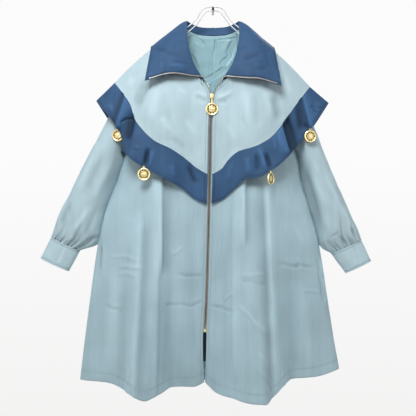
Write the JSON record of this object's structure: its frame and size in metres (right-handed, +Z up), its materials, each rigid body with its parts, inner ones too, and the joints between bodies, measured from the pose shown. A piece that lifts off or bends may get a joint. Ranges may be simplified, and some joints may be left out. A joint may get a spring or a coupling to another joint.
{
  "type": "zip-up coat and hanger",
  "caption": "Zip-up swing coat with a shoulder cape, spread collar and gathered sleeves, hung open at the neck on a wire hanger from a wall peg.",
  "frame": {"origin": "middle of the wall peg's flat end, on the wall", "axes": "+X to the wearer's left, +Y into the wall, +Z up; the coat faces -Y"},
  "size_m": [0.905, 0.2145, 1.0664],
  "materials": {
    "dusty_blue": "soft twill",
    "navy": "soft twill",
    "teal_lining": "satin",
    "gold": "polished",
    "zip_brass": "antique",
    "white_wire": "gloss",
    "dark_steel": "dark"
  },
  "bodies": {
    "coat": {"front_right": "dusty_blue", "front_left": "dusty_blue", "back": "dusty_blue", "sleeve_right": "dusty_blue", "sleeve_left": "dusty_blue", "cuff_right": "dusty_blue", "cuff_left": "dusty_blue", "cape_right": "dusty_blue", "cape_left": "dusty_blue", "cape_back": "dusty_blue", "band_right": "navy", "band_left": "navy", "band_back": "navy", "collar_right": "navy", "collar_left": "navy", "lining": "teal_lining", "zip_right": "zip_brass", "zip_left": "zip_brass", "zip_slider": "gold", "zip_box": "gold", "hanger": "white_wire", "wall_peg": "dark_steel"},
    "zip_pull": {"zip_pull": "gold"},
    "charm_right_front": {"charm_right_front": "gold"},
    "charm_right_shoulder": {"charm_right_shoulder": "gold"},
    "charm_right_back": {"charm_right_back": "gold"},
    "charm_left_front": {"charm_left_front": "gold"},
    "charm_left_shoulder": {"charm_left_shoulder": "gold"},
    "charm_left_back": {"charm_left_back": "gold"}
  },
  "joints": [
    {"name": "zip_pull_swing", "type": "hinge", "parent": "coat", "child": "zip_pull", "pos_m": [-0.00311, -0.16073, -0.25225], "axis": [-1, 0, 0], "range_deg": [0, 150]},
    {"name": "charm_right_front_swing", "type": "hinge", "parent": "coat", "child": "charm_right_front", "pos_m": [-0.183, -0.17792, -0.4354], "axis": [-1, 0, 0], "range_deg": [0, 90]},
    {"name": "charm_right_shoulder_swing", "type": "hinge", "parent": "coat", "child": "charm_right_shoulder", "pos_m": [-0.25642, -0.12486, -0.32839], "axis": [-0.2079, -0.9781, 0], "range_deg": [-40, 5]},
    {"name": "charm_right_back_swing", "type": "hinge", "parent": "coat", "child": "charm_right_back", "pos_m": [-0.27703, -0.04125, -0.31944], "axis": [0.9063, 0.4226, 0], "range_deg": [0, 70]},
    {"name": "charm_left_front_swing", "type": "hinge", "parent": "coat", "child": "charm_left_front", "pos_m": [0.1519, -0.18362, -0.44735], "axis": [-0.9659, -0.2588, 0], "range_deg": [0, 90]},
    {"name": "charm_left_shoulder_swing", "type": "hinge", "parent": "coat", "child": "charm_left_shoulder", "pos_m": [0.2615, -0.12722, -0.33154], "axis": [-0.9781, -0.2079, 0], "range_deg": [0, 90]},
    {"name": "charm_left_back_swing", "type": "hinge", "parent": "coat", "child": "charm_left_back", "pos_m": [0.27386, -0.0399, -0.32631], "axis": [0.9063, -0.4226, 0], "range_deg": [0, 70]}
  ]
}
